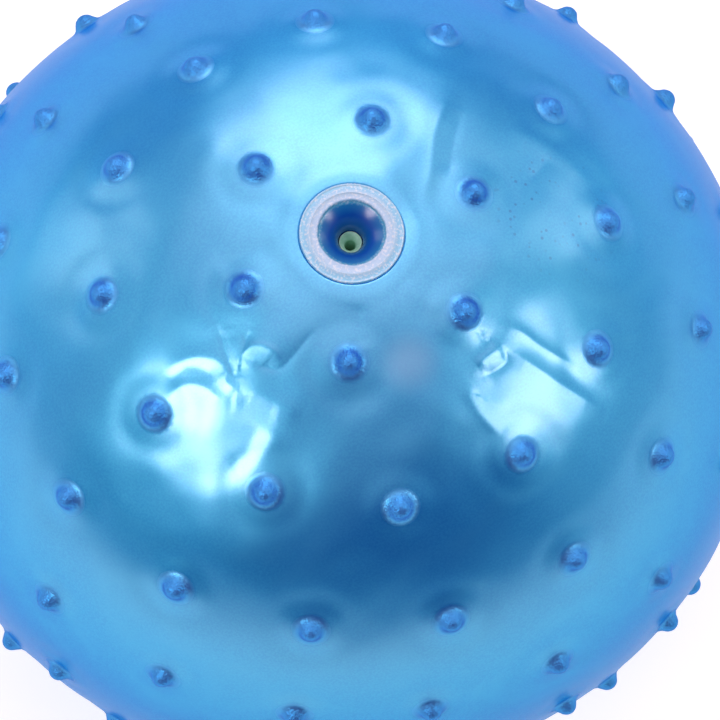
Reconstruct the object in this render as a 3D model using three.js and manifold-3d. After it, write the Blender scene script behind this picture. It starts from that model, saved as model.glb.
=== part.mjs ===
// Inflatable knobby playground ball: a thin moulded skin with nubs, a valve housing and its needle core.
// Millimetres. The origin is the ball's centre, +Z runs out through the valve, +X towards a nub.
import * as THREE from 'three';
import { mergeVertices } from 'three/addons/utils/BufferGeometryUtils.js';
import Module from 'manifold-3d';

const wasm = await Module();
wasm.setup();

// Skin
const BALL_RADIUS = 90;
const WALL = 1.0;
const VALVE_OPENING_RADIUS = 10.25;

// Nubs: rings round the mould's axis. Each ring is [polar angle, number of nubs, turn of its first nub],
// with angles in degrees. The half away from the valve is the mirror image, turned by half a pitch.
// The valve sits a little off the mould's axis, so the whole pattern of nubs leans from it.
const NUB_RINGS = [
  [15.4, 6, 0],
  [33.1, 12, 14.7],
  [50.5, 16, 13.9],
  [67.1, 19, 11.1],
  [84.3, 20, 7.7],
];
const PATTERN_LEAN = 1.2;
const PATTERN_LEAN_TOWARDS = -38;
const NUB_HEIGHT = 2.6;
const NUB_FOOT_RADIUS = 3.8;
const NUB_DOME_RADIUS = 2.4;
const NUB_ROOT = 0.7;
const NUB_WAIST = 0.35;
const NUB_BROW = 0.84;

// Valve: heights below are depths under the rim, whose flat face stands a little proud of the skin.
const GAP = 0.3;
const RIM_HEIGHT = 90.3;
const RIM_FLAT_WIDTH = 1.0;
const MOUTH_RADIUS = 6.3;
const MOUTH_ROUND = 0.4;
const FUNNEL_FLARE = 2.3;
const BOSS_RADIUS = 9.9;
const SHOULDER_STEP = 0.2;
const SHOULDER_DROP = 0.55;
const RIDGE_WIDTH = 0.3;
const RIDGE_RISE = 0.15;
const FLANGE_RADIUS = 14;
const FLANGE_THICKNESS = 1.2;
const FLANGE_ROOT = 0.3;
const FLANGE_CLEARANCE = 0.8;
const CORE_DEPTH = 5.9;
const CORE_RADIUS = 2.2;
const CORE_LENGTH = 14.5;
const NEEDLE_RADIUS = 1.08;
const LEAD_IN_DEPTH = 2.0;
const PASSAGE_LENGTH = 11;
const NOSE_RADIUS = 1.6;
const NOSE_TIP_RADIUS = 1.1;
const SEAT_DEPTH = 15;
const HOUSING_DEPTH = 17.5;
const NECK_RADIUS = 7.2;
const NECK_DEPTH = 6.5;
const TUBE_RADIUS = 5.2;
const TUBE_DEPTH = 9;
const CORE_EDGE = 0.15;

// How finely the round shapes are faceted
const SKIN_FACETS = [40, 20];
const INSIDE_FACETS = [24, 12];
const NUB_SIDES = 6;
const VALVE_SIDES = 24;
const CORE_SIDES = 16;
const MOUTH_STEPS = 3;
const FUNNEL_STEPS = 7;

const rad = THREE.MathUtils.degToRad;

// A closed three.js geometry as a solid, with shared vertices merged and zero-area triangles dropped.
function toSolid(source) {
  const geometry = source.clone();
  for (const name of ['normal', 'uv']) geometry.deleteAttribute(name);
  const merged = mergeVertices(geometry, 1e-4);
  const indices = [];
  for (let i = 0; i < merged.index.count; i += 3) {
    const [a, b, c] = [0, 1, 2].map((k) => merged.index.getX(i + k));
    if (a !== b && b !== c && c !== a) indices.push(a, b, c);
  }
  const position = Float32Array.from(merged.attributes.position.array);
  const triangles = signedVolume(position, indices) < 0 ? indices.reverse() : indices;
  const mesh = new wasm.Mesh({ numProp: 3, vertProperties: position, triVerts: Uint32Array.from(triangles) });
  return new wasm.Manifold(mesh);
}

function signedVolume(position, indices) {
  const corner = (i) => new THREE.Vector3().fromArray(position, 3 * indices[i]);
  let sum = 0;
  for (let i = 0; i < indices.length; i += 3) {
    sum += corner(i).dot(corner(i + 1).cross(corner(i + 2)));
  }
  return sum / 6;
}

function toGeometry(solid) {
  const mesh = solid.getMesh();
  const geometry = new THREE.BufferGeometry();
  geometry.setAttribute('position', new THREE.BufferAttribute(mesh.vertProperties, 3));
  geometry.setIndex(new THREE.BufferAttribute(mesh.triVerts, 1));
  geometry.computeVertexNormals();
  return geometry;
}

// A solid of revolution about +Z from [radius, height] points. three.js turns profiles about +Y.
function revolve(profile, segments) {
  const points = profile.map(([r, z]) => new THREE.Vector2(r, z));
  return toSolid(new THREE.LatheGeometry(points, segments).rotateX(Math.PI / 2));
}

// Points of a circular arc about a centre on the profile, from one angle to another in degrees.
function arc(centreR, centreZ, radius, fromAngle, toAngle, steps) {
  return Array.from({ length: steps + 1 }, (_, i) => {
    const angle = rad(fromAngle + ((toAngle - fromAngle) * i) / steps);
    return [centreR + radius * Math.cos(angle), centreZ + radius * Math.sin(angle)];
  });
}

function sphere(radius, [around, along]) {
  const middle = arc(0, 0, radius, -90, 90, along).slice(1, -1);
  return revolve([[0, -radius], ...middle, [0, radius]], around);
}

// One nub at the ball's top: a low dome whose flared foot is rooted in the wall.
function makeNub() {
  const foot = BALL_RADIUS - NUB_ROOT;
  const waist = BALL_RADIUS + NUB_WAIST * NUB_HEIGHT;
  const brow = BALL_RADIUS + NUB_BROW * NUB_HEIGHT;
  const crown = BALL_RADIUS + NUB_HEIGHT;
  const browRadius = NUB_DOME_RADIUS * Math.sqrt(1 - ((NUB_BROW - NUB_WAIST) / (1 - NUB_WAIST)) ** 2);
  const flare = [[0, foot], [NUB_FOOT_RADIUS, foot], [NUB_DOME_RADIUS, waist]];
  const profile = [...flare, [browRadius, brow], [0, crown]];
  return revolve(profile, NUB_SIDES);
}

function nubPlaces() {
  const places = [];
  for (const [polar, count, turn] of NUB_RINGS) {
    const pitch = 360 / count;
    for (let i = 0; i < count; i += 1) {
      places.push([polar, turn + i * pitch]);
      places.push([180 - polar, turn + (i + 0.5) * pitch]);
    }
  }
  return places;
}

// The rotation that carries a nub from the ball's top to its place.
function nubRotation([polar, azimuth]) {
  const towards = rad(PATTERN_LEAN_TOWARDS);
  const leanAxis = new THREE.Vector3(-Math.sin(towards), Math.cos(towards), 0);
  const lean = new THREE.Matrix4().makeRotationAxis(leanAxis, rad(PATTERN_LEAN));
  const turn = new THREE.Matrix4().makeRotationZ(rad(azimuth));
  const tilt = new THREE.Matrix4().makeRotationY(rad(polar));
  return lean.multiply(turn).multiply(tilt);
}

// The skin, nubs and all, is one moulding with an opening for the valve.
function makeBallShell() {
  const nub = makeNub();
  const nubs = nubPlaces().map((place) => nub.transform(nubRotation(place).elements));
  const outside = wasm.Manifold.union([sphere(BALL_RADIUS, SKIN_FACETS), ...nubs]);
  const inside = sphere(BALL_RADIUS - WALL, INSIDE_FACETS);
  const topEdge = BALL_RADIUS + NUB_HEIGHT;
  const drill = [[0, 0], [VALVE_OPENING_RADIUS, 0], [VALVE_OPENING_RADIUS, topEdge], [0, topEdge]];
  return outside.subtract(inside).subtract(revolve(drill, VALVE_SIDES));
}

// The valve housing: a proud rim with a rounded mouth, a smooth funnel that guides the pump's needle,
// a bore with a seat for the core, and a flange that lies under the skin.
function makeValveHousing() {
  const depth = (value) => RIM_HEIGHT - value;
  const flangeTop = (r) => Math.sqrt((BALL_RADIUS - WALL - FLANGE_CLEARANCE) ** 2 - r ** 2);
  const boreRadius = CORE_RADIUS + GAP;
  const seatRadius = NOSE_RADIUS + GAP;
  const flatOuter = MOUTH_RADIUS + MOUTH_ROUND + RIM_FLAT_WIDTH;
  const mouth = arc(MOUTH_RADIUS + MOUTH_ROUND, depth(MOUTH_ROUND), MOUTH_ROUND, 180, 90, MOUTH_STEPS);
  const shoulder = [
    [flatOuter, RIM_HEIGHT],
    [flatOuter + SHOULDER_STEP, depth(SHOULDER_STEP)],
    [BOSS_RADIUS - 2 * RIDGE_WIDTH, depth(SHOULDER_DROP)],
    [BOSS_RADIUS - RIDGE_WIDTH, depth(SHOULDER_DROP - RIDGE_RISE)],
    [BOSS_RADIUS, depth(SHOULDER_DROP)],
  ];
  const flange = [
    [BOSS_RADIUS, flangeTop(BOSS_RADIUS)],
    [FLANGE_RADIUS, flangeTop(FLANGE_RADIUS)],
    [FLANGE_RADIUS, flangeTop(FLANGE_RADIUS) - FLANGE_THICKNESS],
    [BOSS_RADIUS, flangeTop(BOSS_RADIUS) - FLANGE_THICKNESS - FLANGE_ROOT],
  ];
  const tube = [
    [NECK_RADIUS, depth(NECK_DEPTH)],
    [TUBE_RADIUS, depth(TUBE_DEPTH)],
    [TUBE_RADIUS, depth(HOUSING_DEPTH)],
    [seatRadius, depth(HOUSING_DEPTH)],
    [seatRadius, depth(SEAT_DEPTH + GAP)],
    [boreRadius, depth(SEAT_DEPTH + GAP)],
  ];
  const funnel = funnelWall(boreRadius);
  return revolve([...mouth, ...shoulder, ...flange, ...tube, ...funnel, mouth[0]], VALVE_SIDES);
}

// The funnel's wall, from the bore up to the mouth: a trumpet, steep at the bore and open at the mouth.
function funnelWall(boreRadius) {
  const bottom = CORE_DEPTH + GAP;
  return Array.from({ length: FUNNEL_STEPS }, (_, i) => {
    const rise = i / FUNNEL_STEPS;
    const r = boreRadius + (MOUTH_RADIUS - boreRadius) * rise ** FUNNEL_FLARE;
    return [r, RIM_HEIGHT - MOUTH_ROUND - (bottom - MOUTH_ROUND) * (1 - rise)];
  });
}

// The self-sealing core: a countersunk lead-in, a blind needle passage that ends at the closed slit,
// a shoulder that sits on the housing's seat, and a tapered nose.
function makeValveCore() {
  const top = RIM_HEIGHT - CORE_DEPTH;
  const profile = [
    [0, top - PASSAGE_LENGTH - NEEDLE_RADIUS],
    [NEEDLE_RADIUS, top - PASSAGE_LENGTH],
    [NEEDLE_RADIUS, top - LEAD_IN_DEPTH],
    [CORE_RADIUS - CORE_EDGE, top],
    [CORE_RADIUS, top - CORE_EDGE],
    [CORE_RADIUS, RIM_HEIGHT - SEAT_DEPTH],
    [NOSE_RADIUS, RIM_HEIGHT - SEAT_DEPTH],
    [NOSE_RADIUS, RIM_HEIGHT - HOUSING_DEPTH],
    [NOSE_TIP_RADIUS, top - CORE_LENGTH],
    [0, top - CORE_LENGTH],
  ];
  return revolve(profile, CORE_SIDES);
}

const pearlVinyl = new THREE.MeshStandardMaterial({ color: 0x2f93d3, roughness: 0.34, metalness: 0.35 });
const valveVinyl = new THREE.MeshStandardMaterial({ color: 0x5fb4e2, roughness: 0.3, metalness: 0.15 });
const coreRubber = new THREE.MeshStandardMaterial({ color: 0x8ec9a9, roughness: 0.6, metalness: 0 });

const group = new THREE.Group();
const pieces = [
  ['ball_shell', makeBallShell(), pearlVinyl],
  ['valve_housing', makeValveHousing(), valveVinyl],
  ['valve_core', makeValveCore(), coreRubber],
];
for (const [name, solid, material] of pieces) {
  const mesh = new THREE.Mesh(toGeometry(solid), material);
  mesh.name = name;
  group.add(mesh);
}

export default group;
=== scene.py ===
"""The looks of the inflatable knobby ball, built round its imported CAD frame."""

from math import cos, pi, radians, sin

import bmesh
import bpy
import numpy as np
from mathutils import Matrix, Vector


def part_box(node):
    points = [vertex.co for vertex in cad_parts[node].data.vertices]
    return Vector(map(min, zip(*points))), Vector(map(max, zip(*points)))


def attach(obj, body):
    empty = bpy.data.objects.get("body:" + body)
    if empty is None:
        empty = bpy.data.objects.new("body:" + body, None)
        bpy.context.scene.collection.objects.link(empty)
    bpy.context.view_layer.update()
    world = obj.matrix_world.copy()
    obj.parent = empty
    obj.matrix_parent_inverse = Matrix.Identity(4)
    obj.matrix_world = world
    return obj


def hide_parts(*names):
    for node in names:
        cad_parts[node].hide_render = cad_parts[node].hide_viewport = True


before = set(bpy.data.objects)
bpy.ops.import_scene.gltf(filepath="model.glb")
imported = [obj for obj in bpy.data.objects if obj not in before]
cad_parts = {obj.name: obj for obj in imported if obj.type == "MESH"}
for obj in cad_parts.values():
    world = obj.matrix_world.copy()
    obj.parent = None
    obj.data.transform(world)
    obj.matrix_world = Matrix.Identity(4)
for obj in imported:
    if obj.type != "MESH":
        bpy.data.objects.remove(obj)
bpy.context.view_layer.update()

MM = 0.001

# Driving sizes, in millimetres. Meshes are made in metres.
BALL_RADIUS = round(-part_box("ball_shell")[0].z / MM)
RIM_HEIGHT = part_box("valve_housing")[1].z / MM
CORE_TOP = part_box("valve_core")[1].z / MM
CORE_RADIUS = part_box("valve_core")[1].x / MM
WALL = 1.0
BOSS_RADIUS = 9.9
OPENING_GAP = 0.03
OPENING_RADIUS = BOSS_RADIUS + OPENING_GAP

# How much wider than round the soft ball is, as a share of its radius.
OUT_OF_ROUND = 0.024

# Nubs: (polar angle, number, turn of the first), in degrees, as in CAD.
NUB_RINGS = [(15.4, 6, 0), (33.1, 12, 14.7), (50.5, 16, 13.9), (67.1, 19, 11.1), (84.3, 20, 7.7)]
PATTERN_LEAN = 1.2
PATTERN_LEAN_TOWARDS = -38
NUB_HEIGHT = 2.6
NUB_DOME = 2.25
NUB_SLOPE = radians(62)
NUB_FILLET = 1.6
NUB_SKIRT = 0.3
NUB_SKIRT_RADIUS = 4.2

# The least and most that a nub differs from the others, as factors on its height and its width.
NUB_TALLNESS = (0.9, 1.04)
NUB_BREADTH = (0.95, 1.06)
NUB_SEED = 7

# Faint rings in the skin: (height, radius, width), in mm. A moat goes round each nub, and the welt
# and the groove go round the valve.
MOAT = (-0.1, 7.4, 2.0)
WELT = (0.09, OPENING_RADIUS + 2.4, 1.5)
GROOVE = (-0.06, OPENING_RADIUS, 0.4)

# Waves: (seed, number of them, wavelength, height, height added round the valve), with sizes in mm.
WAVES = [(3, 14, 34, 0.05, 0.16), (5, 18, 14, 0.008, 0.04), (8, 24, 7, 0.002, 0.012)]
# The added height is whole up to the first angle from the valve and gone at the second, in degrees.
WAVED_POLAR = (25, 70)

# The longest mesh edge: (length on a feature, how far that reaches, growth beyond it), in mm.
NUB_MESH = (1.0, 4.2, 0.4)
CREASE_MESH = (0.6, 1.2, 0.3)
OPENING_MESH = (0.6, 3, 0.3)
VALVE_SIDE_MESH = (2.0, 50, 0.06)
SHORTEST_EDGE = 0.6
LONGEST_EDGE = 4.4
INSIDE_EDGE = 9.0

# The "nub" attribute is 1 up to the first distance from a nub's middle and 0 beyond the second, in mm.
NUB_SHADE = (1.6, 4.8)

# The photograph's viewing angle. Distances are in ball radii.
CAMERA_AZIMUTH = radians(-124.35)
CAMERA_ELEVATION = radians(74.0)
CAMERA_ROLL = radians(9.84)
CAMERA_DISTANCE = 7.0
CAMERA_SHIFT_RIGHT = 0.0641
CAMERA_SHIFT_UP = 0.0074
CAMERA_LENS = 145.45
SENSOR_WIDTH = 36

# A factor on every mesh edge's length.
COARSENESS = 1.0
FAR_AWAY = 1e9
POINTS_AT_ONCE = 20000


def camera_axes():
    """Right, up and back of the camera, as unit vectors."""
    level = cos(CAMERA_ELEVATION)
    back = Vector((level * cos(CAMERA_AZIMUTH), level * sin(CAMERA_AZIMUTH), sin(CAMERA_ELEVATION)))
    flat_right = Vector((-sin(CAMERA_AZIMUTH), cos(CAMERA_AZIMUTH), 0))
    flat_up = back.cross(flat_right)
    right = cos(CAMERA_ROLL) * flat_right + sin(CAMERA_ROLL) * flat_up
    return right, back.cross(right), back


RIGHT, UP, BACK = camera_axes()


# ---------------------------------------------------------------- skin: where things are on the ball

def directions(polar, azimuth):
    """Unit vectors at polar angles from the valve and azimuths, both in radians."""
    polar, azimuth = np.broadcast_arrays(polar, azimuth)
    return np.stack([np.sin(polar) * np.cos(azimuth), np.sin(polar) * np.sin(azimuth), np.cos(polar)], -1)


def nub_directions():
    """A unit vector to each nub: rings on both halves, leaning as the mould's axis does."""
    found = []
    for polar, count, turn in NUB_RINGS:
        steps = np.arange(count)
        pitch = 360 / count
        found.append(directions(np.radians(polar), np.radians(turn + steps * pitch)))
        found.append(directions(np.radians(180 - polar), np.radians(turn + (steps + 0.5) * pitch)))
    towards = radians(PATTERN_LEAN_TOWARDS)
    lean = Matrix.Rotation(radians(PATTERN_LEAN), 3, Vector((-sin(towards), cos(towards), 0)))
    return np.concatenate(found) @ np.array(lean).T


NUBS = nub_directions()


def nearest_nub(points):
    """For unit vectors: the distance along the skin to the nearest nub, in mm, and that nub's number."""
    distance = np.empty(len(points))
    number = np.empty(len(points), int)
    for start in range(0, len(points), POINTS_AT_ONCE):
        part = slice(start, start + POINTS_AT_ONCE)
        nearness = points[part] @ NUBS.T
        number[part] = nearness.argmax(1)
        distance[part] = np.arccos(np.clip(nearness.max(1), -1, 1)) * BALL_RADIUS
    return distance, number


def nub_profile(distance):
    """A nub's height at a distance from its middle: a round dome, a flank, a fillet and a faint skirt."""
    dome_edge = NUB_DOME * sin(NUB_SLOPE)
    dome_drop = NUB_DOME * (1 - cos(NUB_SLOPE))
    fillet_rise = NUB_FILLET * (1 - cos(NUB_SLOPE))
    rise = NUB_HEIGHT - NUB_SKIRT
    flank = (rise - dome_drop - fillet_rise) / np.tan(NUB_SLOPE)
    fillet_start = dome_edge + flank
    foot = fillet_start + NUB_FILLET * sin(NUB_SLOPE)
    on_dome = rise - NUB_DOME + np.sqrt(np.maximum(NUB_DOME**2 - distance**2, 0))
    on_flank = fillet_rise + (fillet_start - distance) * np.tan(NUB_SLOPE)
    to_foot = np.clip(foot - distance, 0, NUB_FILLET)
    on_fillet = NUB_FILLET - np.sqrt(NUB_FILLET**2 - to_foot**2)
    skirt = NUB_SKIRT * np.exp(-((distance / NUB_SKIRT_RADIUS) ** 2))
    below_dome = np.where(distance < fillet_start, on_flank, on_fillet)
    return skirt + np.where(distance < dome_edge, on_dome, below_dome)


def ring_profile(distance, height, radius, width):
    """A faint round-backed ring's height, or a groove's depth below 0, at a distance from its middle."""
    return height * np.exp(-(((distance - radius) / width) ** 2))


# ---------------------------------------------------------------- skin: creases round the valve

# Each crease: its route in mm as seen from straight above the valve, its height (below 0 for a
# valley), how rounded its edge is, and how far it fades on its left and on its right.
CREASES = [
    # the sharp V left of the valve, its floor, and the curl that starts at its tip
    ([(-29.6, -4.1), (-30.0, -8.7), (-30.6, -13.1), (-30.4, -15.8)], -0.20, 0.25, 0.5, 1.4),
    ([(-24.5, -8.2), (-27.3, -11.2), (-30.1, -15.8)], -0.22, 0.25, 1.4, 0.5),
    ([(-27.6, -6.4), (-28.8, -10.0), (-30.0, -14.4)], -0.12, 0.8, 1.4, 1.4),
    ([(-30.2, -15.3), (-28.2, -12.3), (-25.9, -11.3), (-23.8, -12.0), (-22.1, -14.2), (-21.9, -16.4)],
     0.22, 0.25, 0.6, 1.6),
    ([(-26.9, -13.6), (-25.0, -15.6), (-22.5, -17.3), (-19.2, -16.3), (-15.6, -14.6), (-13.2, -13.8)],
     -0.20, 0.3, 1.3, 0.7),
    # the arch and the lobes over the left highlight
    ([(-42.1, -7.7), (-38.5, -7.5), (-34.9, -8.5), (-31.9, -11.1), (-30.6, -15.0)], 0.18, 0.6, 1.4, 1.4),
    ([(-42.6, -9.8), (-38.0, -8.8), (-35.0, -11.1), (-33.8, -14.4)], -0.14, 0.6, 1.4, 1.4),
    ([(-44.0, -13.0), (-40.4, -11.6), (-36.8, -13.4), (-34.8, -17.0), (-32.4, -18.6)], 0.22, 0.6, 1.0, 3.2),
    ([(-30.2, -12.7), (-32.4, -14.5), (-31.2, -17.6)], 0.12, 0.3, 0.8, 0.8),
    # the streak that runs on from the V's tip, and the fold down to the nub below it
    ([(-30.5, -17.1), (-27.6, -20.6), (-24.5, -24.0), (-21.7, -26.9)], 0.12, 0.7, 1.6, 1.2),
    ([(-32.1, -18.7), (-29.0, -21.9), (-25.8, -24.7)], -0.08, 0.8, 1.4, 1.4),
    ([(-26.9, -26.3), (-29.6, -28.7), (-33.5, -30.6), (-37.8, -31.2)], 0.15, 0.9, 2.0, 1.8),
    ([(-29.6, -24.9), (-32.7, -26.6), (-34.8, -28.6), (-38.3, -29.0)], -0.12, 0.9, 1.8, 2.0),
    # the straight ridge right of the valve, and the sharp corner of the fold beside it
    ([(19.2, -26.3), (22.1, -28.4), (24.9, -32.0), (27.8, -35.2), (30.6, -38.0)], 0.18, 0.4, 0.9, 0.8),
    ([(17.7, -30.1), (20.9, -33.6), (25.1, -38.7), (29.6, -43.7), (33.0, -47.6)], 0.28, 0.4, 1.5, 5.0),
    ([(11.4, -31.8), (13.8, -30.6), (17.9, -29.6)], 0.20, 0.3, 0.7, 1.4),
    ([(17.6, -30.4), (17.6, -32.5), (15.6, -33.4), (12.0, -33.6)], -0.20, 0.3, 0.8, 1.0),
    ([(10.4, -34.7), (8.2, -35.8), (9.2, -40.8), (11.4, -44.6)], 0.16, 0.6, 2.2, 1.2),
    ([(14.8, -25.2), (14.6, -27.2), (16.4, -29.0)], -0.12, 0.3, 0.7, 0.7),
    # the long soft fold on the far side, and short pulls beside it
    ([(29.5, 19.3), (23.4, 12.4), (19.6, 6.0), (15.3, 0.4)], 0.22, 0.6, 1.8, 1.2),
    ([(31.0, 16.0), (25.8, 9.6), (21.8, 3.0)], -0.18, 0.6, 1.4, 2.4),
    ([(43.7, 1.9), (40.5, -0.4), (37.1, -2.0)], -0.07, 0.6, 1.4, 1.4),
    ([(36.5, 10.5), (43.0, 5.5), (49.6, -6.0)], 0.2, 1.2, 3.4, 3.4),
    # soft pulls that run in towards the valve
    ([(-13.0, 4.5), (-19.0, 5.2), (-26.0, 4.0)], -0.16, 0.8, 1.8, 1.8),
    ([(-12.6, -2.6), (-18.0, -3.6), (-23.5, -3.2)], 0.14, 0.8, 1.8, 1.8),
    ([(-4.0, -12.6), (-6.2, -16.5), (-7.6, -21.0)], -0.18, 0.7, 1.6, 2.2),
    ([(4.6, -12.0), (6.4, -16.0), (9.6, -20.4)], 0.14, 0.8, 2.0, 2.0),
]
CREASED_REACH = 62

# A crease sinks into the skin at both ends: where the taper starts along it, and how fast it rises.
CREASE_END = 0.04
CREASE_TAPER = 1.6


def smooth_route(points, per_span=5):
    """A Catmull-Rom curve through the points."""
    p = np.array(points, float)
    p = np.vstack([2 * p[0] - p[1], p, 2 * p[-1] - p[-2]])
    t = np.linspace(0, 1, per_span, endpoint=False)[:, None]
    spans = []
    for a, b, c, d in zip(p, p[1:], p[2:], p[3:]):
        spans.append(0.5 * (2 * b + (c - a) * t + (2 * a - 5 * b + 4 * c - d) * t**2
                            + (3 * b - a - 3 * c + d) * t**3))
    return np.vstack([*spans, p[-2:-1]])


def along_and_across(xy, route):
    """How far along the route each point lies, from 0 to 1, and how far to its left, in mm."""
    best = np.full(len(xy), FAR_AWAY)
    along = np.zeros(len(xy))
    across = np.zeros(len(xy))
    spans = np.diff(route, axis=0)
    lengths = np.hypot(*spans.T)
    reached = np.concatenate([[0], np.cumsum(lengths)])
    for start, span, length, before in zip(route, spans, lengths, reached):
        offset = xy - start
        t = np.clip(offset @ span / length**2, 0, 1)
        away = offset - t[:, None] * span
        distance = np.hypot(*away.T)
        side = np.sign(span[0] * offset[:, 1] - span[1] * offset[:, 0])
        nearer = distance < best
        best[nearer] = distance[nearer]
        along[nearer] = ((before + t * length) / reached[-1])[nearer]
        across[nearer] = (side * distance)[nearer]
    return along, across


def crease_heights(xy):
    """How far all the creases together lift the skin, in mm."""
    total = np.zeros(len(xy))
    for points, height, edge, left, right in CREASES:
        along, across = along_and_across(xy, smooth_route(points))
        fade = np.where(across > 0, left, right)
        profile = np.exp(-(np.hypot(across, edge) - edge) / fade)
        inside_ends = np.clip(along, CREASE_END, 1 - CREASE_END)
        taper = np.clip(np.sin(pi * inside_ends) * CREASE_TAPER, 0, 1)
        total += height * profile * taper
    return total


def crease_distance(xy):
    """The distance to the nearest crease, in mm."""
    best = np.full(len(xy), FAR_AWAY)
    for points, *_ in CREASES:
        best = np.minimum(best, np.abs(along_and_across(xy, smooth_route(points))[1]))
    return best


def waves(points, seed, count, wavelength):
    """A smooth random field over the skin, from about -1 to 1."""
    rng = np.random.default_rng(seed)
    total = np.zeros(len(points))
    for _ in range(count):
        heading = rng.normal(size=3)
        heading /= np.linalg.norm(heading)
        stretch = rng.uniform(0.7, 1.4)
        phase = rng.uniform(0, 2 * pi)
        total += np.sin(2 * pi * BALL_RADIUS * (points @ heading) * stretch / wavelength + phase)
    return total * (2 / count) ** 0.5


def fade_out(value, near, far):
    """1 up to near, 0 beyond far, smooth between."""
    t = np.clip((value - near) / (far - near), 0, 1)
    return 1 - t * t * (3 - 2 * t)


def polar_angle(points):
    """The angle of each unit vector from the valve's axis, in radians."""
    return np.arccos(np.clip(points[:, 2], -1, 1))


def slumped_radius(points):
    """The bare skin's radius in mm. The ball sags a little, so it is wider one way than the other."""
    equator = np.sin(polar_angle(points)) ** 4
    sideways = points @ np.array(RIGHT)
    upright = points @ np.array(UP)
    slump = OUT_OF_ROUND * (sideways**2 - upright**2) * equator
    return BALL_RADIUS * (1 + slump)


def skin_radius(points):
    """How far from the centre the skin's outer face is, in mm, in each direction."""
    radius = slumped_radius(points)

    distance, number = nearest_nub(points)
    rng = np.random.default_rng(NUB_SEED)
    tallness = rng.uniform(*NUB_TALLNESS, len(NUBS))[number]
    breadth = rng.uniform(*NUB_BREADTH, len(NUBS))[number]
    radius += tallness * nub_profile(distance / breadth) + ring_profile(distance, *MOAT)

    by_valve = fade_out(np.degrees(polar_angle(points)), *WAVED_POLAR)
    for seed, count, wavelength, height, added in WAVES:
        radius += waves(points, seed, count, wavelength) * (height + added * by_valve)

    xy = points[:, :2] * BALL_RADIUS
    from_valve = np.where(points[:, 2] > 0, np.hypot(*xy.T), FAR_AWAY)
    creased = from_valve < CREASED_REACH
    radius[creased] += crease_heights(xy[creased])
    return radius + ring_profile(from_valve, *WELT) + ring_profile(from_valve, *GROOVE)


# ---------------------------------------------------------------- skin: an adaptive mesh

OPENING_POLAR = np.arcsin(OPENING_RADIUS / BALL_RADIUS)


def edge_near(distance, length, reach, growth):
    """The longest mesh edge wanted at a distance from a feature, in mm."""
    return np.clip(length + growth * (distance - reach), length, LONGEST_EDGE)


def edge_target(points):
    """The longest mesh edge wanted at each place, in mm: fine on nubs, creases and by the valve."""
    xy = points[:, :2] * BALL_RADIUS
    from_valve = np.where(points[:, 2] > 0, np.hypot(*xy.T), FAR_AWAY)
    target = edge_near(nearest_nub(points)[0], *NUB_MESH)
    target = np.minimum(target, edge_near(from_valve, *VALVE_SIDE_MESH))
    target = np.minimum(target, edge_near(from_valve - OPENING_RADIUS, *OPENING_MESH))
    creased = from_valve < CREASED_REACH
    by_crease = edge_near(crease_distance(xy[creased]), *CREASE_MESH)
    target[creased] = np.minimum(target[creased], by_crease)
    return target * COARSENESS


def coarse_sphere(columns=48):
    """Unit vectors and triangles of a sphere with a round opening at the valve."""
    polars = np.concatenate([[OPENING_POLAR], np.linspace(0, pi, columns // 2 + 1)[2:-1]])
    turns = np.arange(columns) * 2 * pi / columns
    rows = [directions(np.full(columns, polar), turns) for polar in polars]
    points = np.vstack([*rows, [[0, 0, -1]]])
    triangles = []
    for row in range(len(polars) - 1):
        for column in range(columns):
            beside = (column + 1) % columns
            a, b = row * columns + column, row * columns + beside
            c, d = a + columns, b + columns
            triangles += [(a, c, b), (b, c, d)]
    last = (len(polars) - 1) * columns
    triangles += [(last + i, len(points) - 1, last + (i + 1) % columns) for i in range(columns)]
    return points, np.array(triangles)


def middle_points(points, pairs):
    """Unit vectors midway along edges. An edge of the opening keeps its middle on the opening's circle."""
    ends = points[pairs]
    middle = ends.sum(1)
    middle /= np.linalg.norm(middle, axis=1)[:, None]
    on_rim = (np.abs(ends[:, :, 2] - cos(OPENING_POLAR)) < 1e-9).all(1)
    turn = np.arctan2(middle[on_rim, 1], middle[on_rim, 0])
    middle[on_rim] = directions(np.full(len(turn), OPENING_POLAR), turn)
    return middle


def edges_of(triangles):
    """The mesh's edges as pairs of points, and the three edges of each triangle."""
    pairs = np.sort(triangles[:, [[0, 1], [1, 2], [2, 0]]], axis=2)
    edges, edge_of = np.unique(pairs.reshape(-1, 2), axis=0, return_inverse=True)
    return edges, edge_of.reshape(-1, 3)


def with_longest_edges(split, edge_of, longest_edge):
    """Adds the longest edge of every triangle that has an edge split, until none is missing."""
    while True:
        missing = split[edge_of].any(1) & ~split[longest_edge]
        if not missing.any():
            return split
        split[longest_edge[missing]] = True


def cut(triangles, edge_of, longest, new_point):
    """Halves triangles through their longest edge, and each half again where its own edge is split."""
    order = (longest[:, None] + np.arange(3)) % 3
    rows = np.arange(len(triangles))[:, None]
    a, b, c = triangles[rows, order].T
    ab, bc, ca = new_point[edge_of[rows, order]].T
    pieces = [np.stack([a, b, c], 1)[ab < 0]]
    for near, far, extra in ((a, c, ca), (c, b, bc)):
        whole = (ab >= 0) & (extra < 0)
        halved = (ab >= 0) & (extra >= 0)
        pieces.append(np.stack([near, ab, far], 1)[whole])
        pieces.append(np.stack([near, ab, extra], 1)[halved])
        pieces.append(np.stack([extra, ab, far], 1)[halved])
    return np.vstack(pieces)


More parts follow.
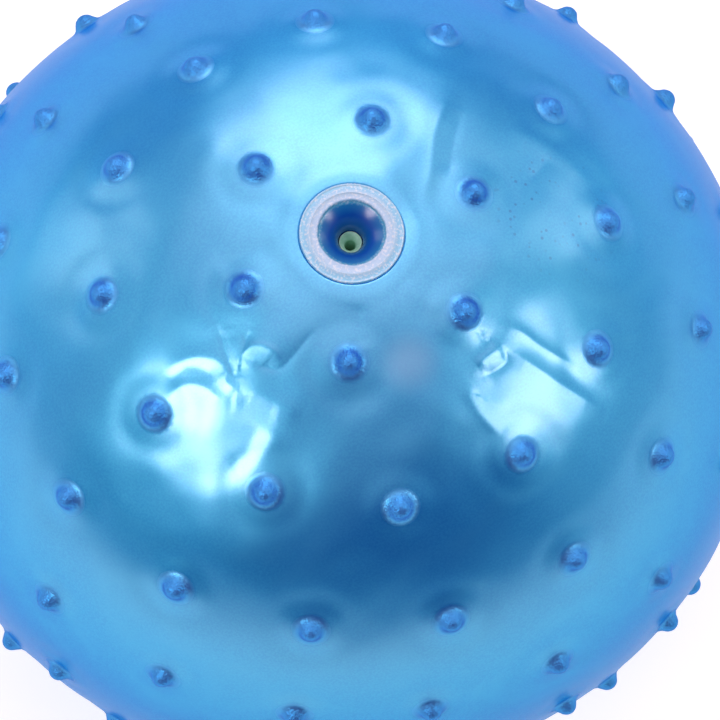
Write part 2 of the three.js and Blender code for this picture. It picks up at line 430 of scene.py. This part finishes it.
def refine(points, triangles, target):
    """Splits edges longer than the target, always through each triangle's longest edge first."""
    while True:
        edges, edge_of = edges_of(triangles)
        length = np.linalg.norm(points[edges[:, 0]] - points[edges[:, 1]], axis=1) * BALL_RADIUS
        middle = middle_points(points, edges)
        split = length > SHORTEST_EDGE * COARSENESS
        split[split] = length[split] > target(middle[split])
        if not split.any():
            return points, triangles
        longest = length[edge_of].argmax(1)
        longest_edge = edge_of[np.arange(len(triangles)), longest]
        split = with_longest_edges(split, edge_of, longest_edge)
        new_point = np.full(len(edges), -1)
        new_point[split] = len(points) + np.arange(split.sum())
        points = np.vstack([points, middle[split]])
        triangles = cut(triangles, edge_of, longest, new_point)


def add_object(name, mesh):
    """A smooth-shaded object of a finished mesh."""
    mesh.shade_smooth()
    made = bpy.data.objects.new(name, mesh)
    bpy.context.scene.collection.objects.link(made)
    return made


def make_skin():
    """The moulded skin: a fine outer face, a plain inner face one wall in, joined round the opening."""
    sphere, faces = coarse_sphere()
    outer, outer_faces = refine(sphere, faces, edge_target)
    inner, inner_faces = refine(sphere, faces, lambda points: np.full(len(points), INSIDE_EDGE))
    outer_points = outer * skin_radius(outer)[:, None] * MM
    inner_points = inner * (slumped_radius(inner) - WALL)[:, None] * MM
    mesh = bpy.data.meshes.new("skin")
    points = np.vstack([outer_points, inner_points])
    all_faces = np.vstack([outer_faces, inner_faces[:, ::-1] + len(outer)])
    mesh.from_pydata(points.tolist(), [], all_faces.tolist())
    nubbiness = mesh.attributes.new("nub", "FLOAT", "POINT")
    closeness = fade_out(nearest_nub(np.vstack([outer, inner]))[0], *NUB_SHADE)
    nubbiness.data.foreach_set("value", closeness.astype(np.float32))
    bm = bmesh.new()
    bm.from_mesh(mesh)
    rims = [edge for edge in bm.edges if edge.is_boundary]
    bmesh.ops.bridge_loops(bm, edges=rims)
    bmesh.ops.recalc_face_normals(bm, faces=bm.faces)
    bm.to_mesh(mesh)
    bm.free()
    return add_object("skin", mesh)


# ---------------------------------------------------------------- valve

def revolve(name, profile, steps=144):
    """A solid turned about Z from (radius, height) points in mm: a ring if they start off the axis."""
    bm = bmesh.new()
    rows = []
    for r, z in profile:
        if r == 0:
            rows.append([bm.verts.new((0, 0, z * MM))] * steps)
            continue
        turns = [2 * pi * i / steps for i in range(steps)]
        rows.append([bm.verts.new((r * MM * cos(t), r * MM * sin(t), z * MM)) for t in turns])
    is_ring = profile[0][0] > 0
    following = rows[1:] + rows[:1] if is_ring else rows[1:]
    for low, high in zip(rows, following):
        for i in range(steps):
            j = (i + 1) % steps
            corners = list(dict.fromkeys([low[i], low[j], high[j], high[i]]))
            if len(corners) > 2:
                bm.faces.new(corners)
    bmesh.ops.recalc_face_normals(bm, faces=bm.faces)
    mesh = bpy.data.meshes.new(name)
    bm.to_mesh(mesh)
    bm.free()
    return add_object(name, mesh)


def rounded(points, radius, steps=4):
    """The profile with each corner cut back to a small quadratic curve."""
    result = []
    count = len(points)
    for i, corner in enumerate(points):
        here = Vector(corner)
        before = Vector(points[i - 1]) - here
        after = Vector(points[(i + 1) % count]) - here
        reach = min(radius, 0.45 * before.length, 0.45 * after.length)
        start = here + before.normalized() * reach
        end = here + after.normalized() * reach
        for k in range(steps + 1):
            t = k / steps
            result.append(tuple((1 - t) ** 2 * start + 2 * t * (1 - t) * here + t**2 * end))
    return result


MOUTH_RADIUS = 6.3
MOUTH_ROUND = 0.5
MOUTH_STEPS = 8
FUNNEL_FLARE = 2.3
FUNNEL_SPACING = 0.7
BORE_CLEARANCE = 0.12
BORE_RADIUS = CORE_RADIUS + BORE_CLEARANCE
CORE_TOP_SHOWN = 0.1
FUNNEL_DEPTH = RIM_HEIGHT - CORE_TOP + CORE_TOP_SHOWN
CORNER_ROUND = 0.3
FLANGE_RADIUS = 14.0
TUBE_RADIUS = 5.2
TUBE_HOLE_RADIUS = 1.9

# The ledge under the core's shoulder and the tube's end, in mm below the rim, and the shoulder's gap.
SEAT_DEPTH = 15.3
SEAT_GAP = 0.3
TUBE_DEPTH = 17.5

# The boss from its flat rim outwards, down and back in: (radius, depth below the rim), in mm.
BOSS_PROFILE = [
    # the flat, its fall, and the ridge round it
    (7.9, 0.02), (8.5, 0.32), (9.35, 0.52), (9.5, 0.36), (9.72, 0.34), (BOSS_RADIUS, 0.62),
    # the flange under the skin
    (BOSS_RADIUS, 2.7), (FLANGE_RADIUS, 3.25), (FLANGE_RADIUS, 4.45), (BOSS_RADIUS, 4.15),
    # the neck, the tube and the hole in its end, and the ledge where the bore begins
    (7.2, 6.5), (TUBE_RADIUS, 9), (TUBE_RADIUS, TUBE_DEPTH), (TUBE_HOLE_RADIUS, TUBE_DEPTH),
    (TUBE_HOLE_RADIUS, SEAT_DEPTH), (BORE_RADIUS, SEAT_DEPTH),
]

# The core. The passage has straight sides between the first two depths and ends in a point.
PASSAGE_RADIUS = 1.08
LEAD_IN_DEPTH = 2.0
PASSAGE_DEPTH = 11
PASSAGE_POINT = 12
CORE_LENGTH = 14.5
STEM_RADIUS = 1.6
STEM_END_RADIUS = 1.1
TOP_CHAMFER_ACROSS = 0.12
TOP_CHAMFER_DOWN = 0.15
CORE_STEPS = 96
CORE_CORNER_ROUND = 0.1


def funnel_curve(steps=30):
    """The funnel's wall from the bore up to the mouth's rounded edge: a trumpet, steep at the bore."""
    points = []
    for i in range(steps + 1):
        rise = (i / steps) ** FUNNEL_SPACING
        r = BORE_RADIUS + (MOUTH_RADIUS - BORE_RADIUS) * rise**FUNNEL_FLARE
        points.append((r, RIM_HEIGHT - MOUTH_ROUND - (FUNNEL_DEPTH - MOUTH_ROUND) * (1 - rise)))
    return points


def mouth_edge():
    """The rounded edge from the funnel's wall out to the flat rim."""
    points = []
    for step in range(1, MOUTH_STEPS + 1):
        turn = pi / 2 * step / MOUTH_STEPS
        r = MOUTH_RADIUS + MOUTH_ROUND * (1 - cos(turn))
        points.append((r, RIM_HEIGHT - MOUTH_ROUND * (1 - sin(turn))))
    return points


def make_valve_housing():
    """The boss: the funnel, the flat rim, the flange under the skin and the tube round the core."""
    boss = [(r, RIM_HEIGHT - depth) for r, depth in BOSS_PROFILE]
    return revolve("valve_boss", mouth_edge() + rounded(boss, CORNER_ROUND) + funnel_curve())


def make_valve_core():
    """The core: a lead-in round a blind needle passage, and a stem below a shoulder."""
    shoulder = RIM_HEIGHT - SEAT_DEPTH + SEAT_GAP
    end = CORE_TOP - CORE_LENGTH
    outline = [
        (PASSAGE_RADIUS, CORE_TOP - PASSAGE_DEPTH),
        (PASSAGE_RADIUS, CORE_TOP - LEAD_IN_DEPTH),
        (CORE_RADIUS - TOP_CHAMFER_ACROSS, CORE_TOP),
        (CORE_RADIUS, CORE_TOP - TOP_CHAMFER_DOWN),
        (CORE_RADIUS, shoulder),
        (STEM_RADIUS, shoulder),
        (STEM_RADIUS, RIM_HEIGHT - TUBE_DEPTH),
        (STEM_END_RADIUS, end),
    ]
    sides = rounded(outline, CORE_CORNER_ROUND)[1:-1]
    profile = [(0, CORE_TOP - PASSAGE_POINT), *sides, (0, end)]
    return revolve("needle_core", profile, CORE_STEPS)


# ---------------------------------------------------------------- materials

def new_material(name):
    """A material, its node tree and its shader."""
    material = bpy.data.materials.new(name)
    material.use_nodes = True
    shader = material.node_tree.nodes["Principled BSDF"]
    return material, material.node_tree, shader


def add_node(tree, kind, **inputs):
    """A new node with the named inputs set to constants."""
    node = tree.nodes.new(kind)
    for key, value in inputs.items():
        node.inputs[key].default_value = value
    return node


def put(tree, value, socket):
    """Sets a socket to a number or a colour, or links another node's output to it."""
    if isinstance(value, bpy.types.NodeSocket):
        tree.links.new(value, socket)
    elif isinstance(value, tuple):
        socket.default_value = (*value, 1)
    else:
        socket.default_value = value


def noise(tree, coordinates, scale, detail=2.0, distortion=0.0):
    """A noise from 0 to 1. The scale is in cycles per metre."""
    node = add_node(tree, "ShaderNodeTexNoise", Scale=scale, Detail=detail, Distortion=distortion)
    tree.links.new(coordinates, node.inputs["Vector"])
    return node.outputs["Fac"]


def ramp(tree, value, stops):
    """A colour ramp of (position, colour) stops, or of (position, level) stops for greys."""
    node = tree.nodes.new("ShaderNodeValToRGB")
    elements = node.color_ramp.elements
    while len(elements) < len(stops):
        elements.new(0.5)
    for element, (position, colour) in zip(elements, stops):
        element.position = position
        element.color = (*colour, 1) if isinstance(colour, tuple) else (colour, colour, colour, 1)
    tree.links.new(value, node.inputs["Fac"])
    return node.outputs["Color"]


def bump(tree, height, strength, distance):
    """A normal that follows a height. The distance is in metres."""
    node = add_node(tree, "ShaderNodeBump", Distance=distance)
    tree.links.new(height, node.inputs["Height"])
    put(tree, strength, node.inputs["Strength"])
    return node.outputs["Normal"]


def object_coordinates(tree):
    """Places on the piece, in metres from the ball's centre."""
    return tree.nodes.new("ShaderNodeTexCoord").outputs["Object"]


def mixed(tree, share, first, second):
    """Two colours blended by a share that runs from 0 to 1."""
    node = tree.nodes.new("ShaderNodeMix")
    node.data_type = "RGBA"
    for value, socket in ((share, 0), (first, 6), (second, 7)):
        put(tree, value, node.inputs[socket])
    return node.outputs[2]


def pearl_layer(tree, colour, roughness, edge_tint):
    """A layer of flakes. The edge tint keeps it from turning white where it is seen edge-on."""
    layer = add_node(tree, "ShaderNodeBsdfPrincipled", Metallic=1.0)
    put(tree, colour, layer.inputs["Base Color"])
    put(tree, roughness, layer.inputs["Roughness"])
    layer.inputs["Specular Tint"].default_value = (*edge_tint, 1)
    return layer


def layered(tree, edge_on, share_facing, share_edge_on, below, above):
    """The layer above laid over the one below, with less of it where the skin is seen edge-on."""
    share = ramp(tree, edge_on, [(0.1, share_facing), (0.55, share_edge_on)])
    blend = tree.nodes.new("ShaderNodeMixShader")
    tree.links.new(share, blend.inputs["Fac"])
    tree.links.new(below, blend.inputs[1])
    tree.links.new(above, blend.inputs[2])
    return blend.outputs[0]


def multiplied(tree, first, second):
    """The product of two numbers."""
    product = tree.nodes.new("ShaderNodeMath")
    product.operation = "MULTIPLY"
    tree.links.new(first, product.inputs[0])
    tree.links.new(second, product.inputs[1])
    return product.outputs[0]


def patch(tree, where, centre, inner, outer, strength):
    """A soft round mask: the strength within one distance in mm of a spot, 0 beyond the other."""
    away = tree.nodes.new("ShaderNodeVectorMath")
    away.operation = "DISTANCE"
    away.inputs[1].default_value = [value * MM for value in centre]
    tree.links.new(where, away.inputs[0])
    mask = add_node(tree, "ShaderNodeMapRange")
    mask.interpolation_type = "SMOOTHSTEP"
    mask.inputs["From Min"].default_value = inner * MM
    mask.inputs["From Max"].default_value = outer * MM
    mask.inputs["To Min"].default_value = strength
    mask.inputs["To Max"].default_value = 0.0
    tree.links.new(away.outputs["Value"], mask.inputs["Value"])
    return mask.outputs["Result"]


# A pale thin spot and a region of pigment specks: (middle, inner and outer radius in mm, strength).
THIN_SPOT = ((0.0, -26.3, 86.1), 1.0, 7.5, 0.5)
SPECKED_SPOT = ((39.0, -9.0, 80.6), 8.0, 17.0, 1.0)

# Noise scales, in cycles per metre.
GRAIN_SCALE = 2400
FLOW_SCALE = 22
STREAK_SCALE = 34
SPECK_SCALE = 640
BUNCH_SCALE = 190
FROST_SCALE = 2000
MOTTLE_SCALE = 420
CLOUD_SCALE = 900

# The share of each layer of flakes where the skin faces the viewer, and where it is seen edge-on.
FLAKES_SHARES = (0.62, 0.42)
GLITTER_SHARES = (0.135, 0.01)

BODY_ROUGHNESS = 0.5
FLAKES_ROUGHNESS = 0.42
COAT_WEIGHT = 0.55
COAT_IOR = 1.26
VALVE_IOR = 1.6
CORE_ROUGHNESS = 0.55

# How deep the grain of each surface is, in metres.
SKIN_GRAIN = 0.0002
FROST_GRAIN = 0.00006
CORE_GRAIN = 0.00008

# Each pair is a colour's darker and lighter state.
PIGMENT = [(0.3, (0.001, 0.045, 0.73)), (0.7, (0.003, 0.07, 0.80))]
FLAKES = [(0.35, (0.008, 0.66, 0.90)), (0.65, (0.03, 0.80, 0.98))]
CORE_GREEN = [(0.3, (0.40, 0.80, 0.58)), (0.7, (0.56, 0.92, 0.74))]
NUB_BODY = (0.004, 0.09, 0.66)
NUB_FLAKES = (0.015, 0.41, 0.86)
NUB_GLITTER = (0.40, 0.64, 1.0)
GLITTER = (0.92, 0.97, 1.0)
STREAKS = (0.05, 0.82, 1.0)
THIN_FLAKES = (0.36, 0.80, 0.84)
SPECKS = (0.0, 0.42, 0.58)
FLAKES_EDGE_TINT = (0.02, 0.35, 0.55)
GLITTER_EDGE_TINT = (0.1, 0.15, 0.3)
FROST = (0.78, 0.88, 0.97)

# The valve's colours from its axis, at 0, to the boss's side, at 1, with painted shade on the rim's fall,
# and how far they wander.
UNEVENNESS = 0.03
VALVE_COLOURS_AND_SHADE = [
    # the funnel
    (0.3, (0.004, 0.10, 0.34)), (0.42, (0.002, 0.075, 0.40)), (0.58, (0.006, 0.17, 0.46)),
    # its mouth, and the frosted rim
    (0.63, (0.08, 0.42, 0.66)), (0.67, (0.44, 0.66, 0.90)), (0.82, (0.46, 0.72, 0.93)),
    # the rim's fall, a darker cyan that is painted shade, then the ridge round the rim, and the edge beyond
    # it
    (0.88, (0.28, 0.62, 0.88)), (0.94, (0.28, 0.66, 0.90)), (0.975, (0.46, 0.76, 0.95)),
    (0.99, (0.16, 0.56, 0.84)),
]


def specks(tree, where):
    """Fine dark specks of unmixed pigment, scattered in one region."""
    cells = add_node(tree, "ShaderNodeTexVoronoi", Scale=SPECK_SCALE)
    tree.links.new(where, cells.inputs["Vector"])
    dots = ramp(tree, cells.outputs["Distance"], [(0.16, 1), (0.26, 0)])
    bunches = ramp(tree, noise(tree, where, BUNCH_SCALE, 2), [(0.47, 0), (0.53, 1)])
    region = patch(tree, where, *SPECKED_SPOT)
    return multiplied(tree, multiplied(tree, dots, bunches), region)


def body_colour(tree, where, nubbiness):
    """The deep blue pigment, slightly uneven, and deeper on the nubs."""
    flow = noise(tree, where, FLOW_SCALE, 3, 1.2)
    return mixed(tree, nubbiness, ramp(tree, flow, PIGMENT), NUB_BODY)


def flakes_colour(tree, where, grain, nubbiness):
    """The cyan flakes with their streaks, the thin spot and the specks."""
    streaks = ramp(tree, noise(tree, where, STREAK_SCALE, 3, 2.6), [(0.48, 0), (0.72, 0.6)])
    cyan = mixed(tree, streaks, ramp(tree, grain, FLAKES), STREAKS)
    cyan = mixed(tree, patch(tree, where, *THIN_SPOT), cyan, THIN_FLAKES)
    cyan = mixed(tree, specks(tree, where), cyan, SPECKS)
    return mixed(tree, nubbiness, cyan, NUB_FLAKES)


def pearl_vinyl():
    """Deep blue vinyl under cyan flakes and a few white ones near the surface, with a clear gloss.

    The nubs are given a deeper blue, in the pigment and in the flakes, and keep more of their flakes where
    seen edge-on."""
    material, tree, body = new_material("pearl_vinyl")
    where = object_coordinates(tree)
    on_nub = tree.nodes.new("ShaderNodeAttribute")
    on_nub.attribute_name = "nub"
    nubbiness = on_nub.outputs["Fac"]

    grain = noise(tree, where, GRAIN_SCALE, 1)
    tree.links.new(body_colour(tree, where, nubbiness), body.inputs["Base Color"])
    body.inputs["Roughness"].default_value = BODY_ROUGHNESS
    body.inputs["Specular IOR Level"].default_value = 0.0
    cyan = flakes_colour(tree, where, grain, nubbiness)
    flakes = pearl_layer(tree, cyan, FLAKES_ROUGHNESS, FLAKES_EDGE_TINT)
    white = mixed(tree, nubbiness, GLITTER, NUB_GLITTER)
    dullness = ramp(tree, nubbiness, [(0.2, 0.27), (0.8, 0.6)])
    sparkle = pearl_layer(tree, white, dullness, GLITTER_EDGE_TINT)

    roughening = ramp(tree, nubbiness, [(0.3, 0.035), (0.9, 0.9)])
    gloss = bump(tree, grain, roughening, SKIN_GRAIN)
    for shader in (body, flakes, sparkle):
        tree.links.new(gloss, shader.inputs["Normal"])
        tree.links.new(dullness, shader.inputs["Coat Roughness"])
        shader.inputs["Coat Weight"].default_value = COAT_WEIGHT
        shader.inputs["Coat IOR"].default_value = COAT_IOR

    facing = add_node(tree, "ShaderNodeLayerWeight", Blend=0.35).outputs["Facing"]
    edge_on = multiplied(tree, facing, ramp(tree, nubbiness, [(0.2, 1.0), (0.8, 0.3)]))
    lower = layered(tree, edge_on, *FLAKES_SHARES, body.outputs[0], flakes.outputs[0])
    whole = layered(tree, edge_on, *GLITTER_SHARES, lower, sparkle.outputs[0])
    tree.links.new(whole, tree.nodes["Material Output"].inputs["Surface"])
    return material


def place_across_valve(tree, where):
    """How far from the valve's axis each place is, from 0 to 1 at the boss's side, slightly uneven."""
    flat = tree.nodes.new("ShaderNodeVectorMath")
    flat.operation = "MULTIPLY"
    flat.inputs[1].default_value = (1, 1, 0)
    tree.links.new(where, flat.inputs[0])
    radius = tree.nodes.new("ShaderNodeVectorMath")
    radius.operation = "LENGTH"
    tree.links.new(flat.outputs[0], radius.inputs[0])
    outward = add_node(tree, "ShaderNodeMapRange")
    outward.inputs["From Max"].default_value = BOSS_RADIUS * MM
    tree.links.new(radius.outputs["Value"], outward.inputs["Value"])
    uneven = add_node(tree, "ShaderNodeMapRange")
    uneven.inputs["To Min"].default_value = -UNEVENNESS
    uneven.inputs["To Max"].default_value = UNEVENNESS
    tree.links.new(noise(tree, where, MOTTLE_SCALE, 3, 0.6), uneven.inputs["Value"])
    total = tree.nodes.new("ShaderNodeMath")
    total.operation = "ADD"
    tree.links.new(outward.outputs["Result"], total.inputs[0])
    tree.links.new(uneven.outputs["Result"], total.inputs[1])
    return total.outputs[0]


def valve_vinyl():
    """The valve's moulding: a pale frosted rim with painted shade on its fall, and a deep blue polished
    funnel.
    """
    material, tree, shader = new_material("valve_vinyl")
    where = object_coordinates(tree)
    across = place_across_valve(tree, where)
    frost = noise(tree, where, FROST_SCALE, 2)
    on_rim = ramp(tree, across, [(0.57, 0), (0.68, 1)])
    crystals = ramp(tree, frost, [(0.5, 0), (0.66, 0.7)])
    bloom = multiplied(tree, on_rim, crystals)
    # The colour ramp paints shade on the rim's fall.
    colour = mixed(tree, bloom, ramp(tree, across, VALVE_COLOURS_AND_SHADE), FROST)
    tree.links.new(colour, shader.inputs["Base Color"])
    tree.links.new(ramp(tree, across, [(0.6, 0.24), (0.68, 0.42)]), shader.inputs["Roughness"])
    roughening = ramp(tree, across, [(0.6, 0.04), (0.68, 0.7)])
    tree.links.new(bump(tree, frost, roughening, FROST_GRAIN), shader.inputs["Normal"])
    shader.inputs["IOR"].default_value = VALVE_IOR
    return material


def core_rubber():
    """Pale green rubber, matte and slightly clouded."""
    material, tree, shader = new_material("core_rubber")
    where = object_coordinates(tree)
    cloud = noise(tree, where, CLOUD_SCALE, 3)
    tree.links.new(ramp(tree, cloud, CORE_GREEN), shader.inputs["Base Color"])
    tree.links.new(bump(tree, cloud, 0.2, CORE_GRAIN), shader.inputs["Normal"])
    shader.inputs["Roughness"].default_value = CORE_ROUGHNESS
    return material


# ---------------------------------------------------------------- stage

# The floor's side in metres, and its depth below the ball's centre in ball radii.
FLOOR_SIZE = 8
FLOOR_DEPTH = 1.002
FLOOR_GREY = (0.62, 0.62, 0.63)
FLOOR_EMISSION = 0.6

# Lights: name, place along the camera's right, up and back, distance and size in m, radiance, colour.
LIGHTS = [
    ("left_box", (-0.54, -0.24, 0.80), 1.1, 0.38, 9.5, (1.0, 0.80, 0.86)),
    ("right_box", (0.78, -0.10, 0.61), 1.1, 0.33, 6.5, (1.0, 0.82, 0.88)),
    ("far_box", (0.0, 0.89, 0.45), 1.1, 0.80, 2.4, (1.0, 0.74, 0.82)),
    ("left_window", (-0.87, 0.40, 0.28), 1.3, 0.55, 1.5, (1, 1, 1)),
    ("right_window", (0.80, 0.50, 0.30), 1.3, 0.50, 1.7, (1, 1, 1)),
]

# The surroundings. Directions are along the camera's right, up and back, and levels are (cosine, level).
UNLIT_SIDE = (0.12, -0.88, 0.45)
WORLD_LEVELS = [(-0.95, 0.18), (-0.6, 0.25), (-0.1, 0.30), (0.2, 0.33), (0.6, 0.28)]
DARK_PATCHES = [(-0.49, -0.84, 0.23), (0.40, -0.82, 0.41)]
DARK_LEVELS = [(0.64, 1.0), (0.92, 0.0)]
GLOW = (0.05, 0.60, 0.80)
GLOW_LEVELS = [(0.68, 0.0), (0.98, 1.0)]
GLOW_COLOUR = (1.1, 0.80, 0.87)
BACKDROP = (0.92, 0.92, 0.93)


def make_floor():
    """A pale floor that the ball rests on. It belongs to the stage."""
    bpy.ops.mesh.primitive_plane_add(size=FLOOR_SIZE, location=(0, 0, -BALL_RADIUS * MM * FLOOR_DEPTH))
    floor = bpy.context.object
    floor.name = "floor"
    material, _, shader = new_material("floor")
    shader.inputs["Base Color"].default_value = (*FLOOR_GREY, 1)
    shader.inputs["Roughness"].default_value = 0.9
    shader.inputs["Emission Color"].default_value = (1, 1, 1, 1)
    shader.inputs["Emission Strength"].default_value = FLOOR_EMISSION
    floor.data.materials.append(material)


def from_camera(right, up, back):
    """A direction given along the camera's right, up and back."""
    return (right * RIGHT + up * UP + back * BACK).normalized()


def add_softbox(name, direction, distance, size, radiance, colour):
    """A round area light that faces the ball's centre."""
    light = bpy.data.lights.new(name, "AREA")
    light.shape = "DISK"
    light.size = size
    light.energy = radiance * pi * pi * (size / 2) ** 2
    light.color = colour
    lamp = bpy.data.objects.new(name, light)
    lamp.location = direction * distance
    lamp.rotation_mode = "QUATERNION"
    lamp.rotation_quaternion = direction.to_track_quat("Z", "Y")
    bpy.context.scene.collection.objects.link(lamp)


def make_lights():
    """Every light in the table, at its place round the ball."""
    for name, towards, *looks in LIGHTS:
        add_softbox(name, from_camera(*towards), *looks)


def around(tree, where, direction, levels, colour=(1, 1, 1)):
    """A colour whose level follows the cosine of the angle to a direction, as (cosine, level) pairs."""
    nearness = tree.nodes.new("ShaderNodeVectorMath")
    nearness.operation = "DOT_PRODUCT"
    nearness.inputs[1].default_value = direction
    tree.links.new(where, nearness.inputs[0])
    share = add_node(tree, "ShaderNodeMapRange")
    share.inputs["From Min"].default_value = -1.0
    tree.links.new(nearness.outputs["Value"], share.inputs["Value"])
    stops = [((1 + at) / 2, tuple(level * part for part in colour)) for at, level in levels]
    return ramp(tree, share.outputs["Result"], stops)


def combined(tree, operation, first, second):
    """Two colours multiplied or added."""
    node = tree.nodes.new("ShaderNodeVectorMath")
    node.operation = operation
    tree.links.new(first, node.inputs[0])
    tree.links.new(second, node.inputs[1])
    return node.outputs[0]


def make_world():
    """Soft grey surroundings with an unlit side, and a plain pale backdrop where they are seen."""
    world = bpy.data.worlds.new("studio")
    world.use_nodes = True
    bpy.context.scene.world = world
    tree = world.node_tree
    background = tree.nodes["Background"]
    where = tree.nodes.new("ShaderNodeTexCoord").outputs["Generated"]
    light = around(tree, where, from_camera(*UNLIT_SIDE), WORLD_LEVELS)
    for towards in DARK_PATCHES:
        shade = around(tree, where, from_camera(*towards), DARK_LEVELS)
        light = combined(tree, "MULTIPLY", light, shade)
    glow = around(tree, where, from_camera(*GLOW), GLOW_LEVELS, GLOW_COLOUR)
    light = combined(tree, "ADD", light, glow)
    seen = tree.nodes.new("ShaderNodeLightPath").outputs["Is Camera Ray"]
    tree.links.new(mixed(tree, seen, light, BACKDROP), background.inputs["Color"])
    background.inputs["Strength"].default_value = 1.0


def make_camera():
    """The camera at the photograph's place."""
    data = bpy.data.cameras.new("camera")
    data.lens = CAMERA_LENS
    data.sensor_width = SENSOR_WIDTH
    camera = bpy.data.objects.new("camera", data)
    radius = BALL_RADIUS * MM
    shift = CAMERA_SHIFT_RIGHT * RIGHT + CAMERA_SHIFT_UP * UP
    camera.location = radius * (CAMERA_DISTANCE * BACK + shift)
    camera.rotation_mode = "QUATERNION"
    camera.rotation_quaternion = Matrix((RIGHT, UP, BACK)).transposed().to_quaternion()
    bpy.context.scene.collection.objects.link(camera)
    bpy.context.scene.camera = camera


# ---------------------------------------------------------------- assembly

def place(piece, material, body, node):
    """Gives a piece its material and the body it rides on, and hides the CAD solid it stands for."""
    piece.data.materials.append(material)
    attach(piece, body)
    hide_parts(node)


place(make_skin(), pearl_vinyl(), "ball", "ball_shell")
place(make_valve_housing(), valve_vinyl(), "ball", "valve_housing")
place(make_valve_core(), core_rubber(), "core", "valve_core")
make_floor()
make_lights()
make_world()
make_camera()
bpy.context.scene.view_settings.view_transform = "Standard"
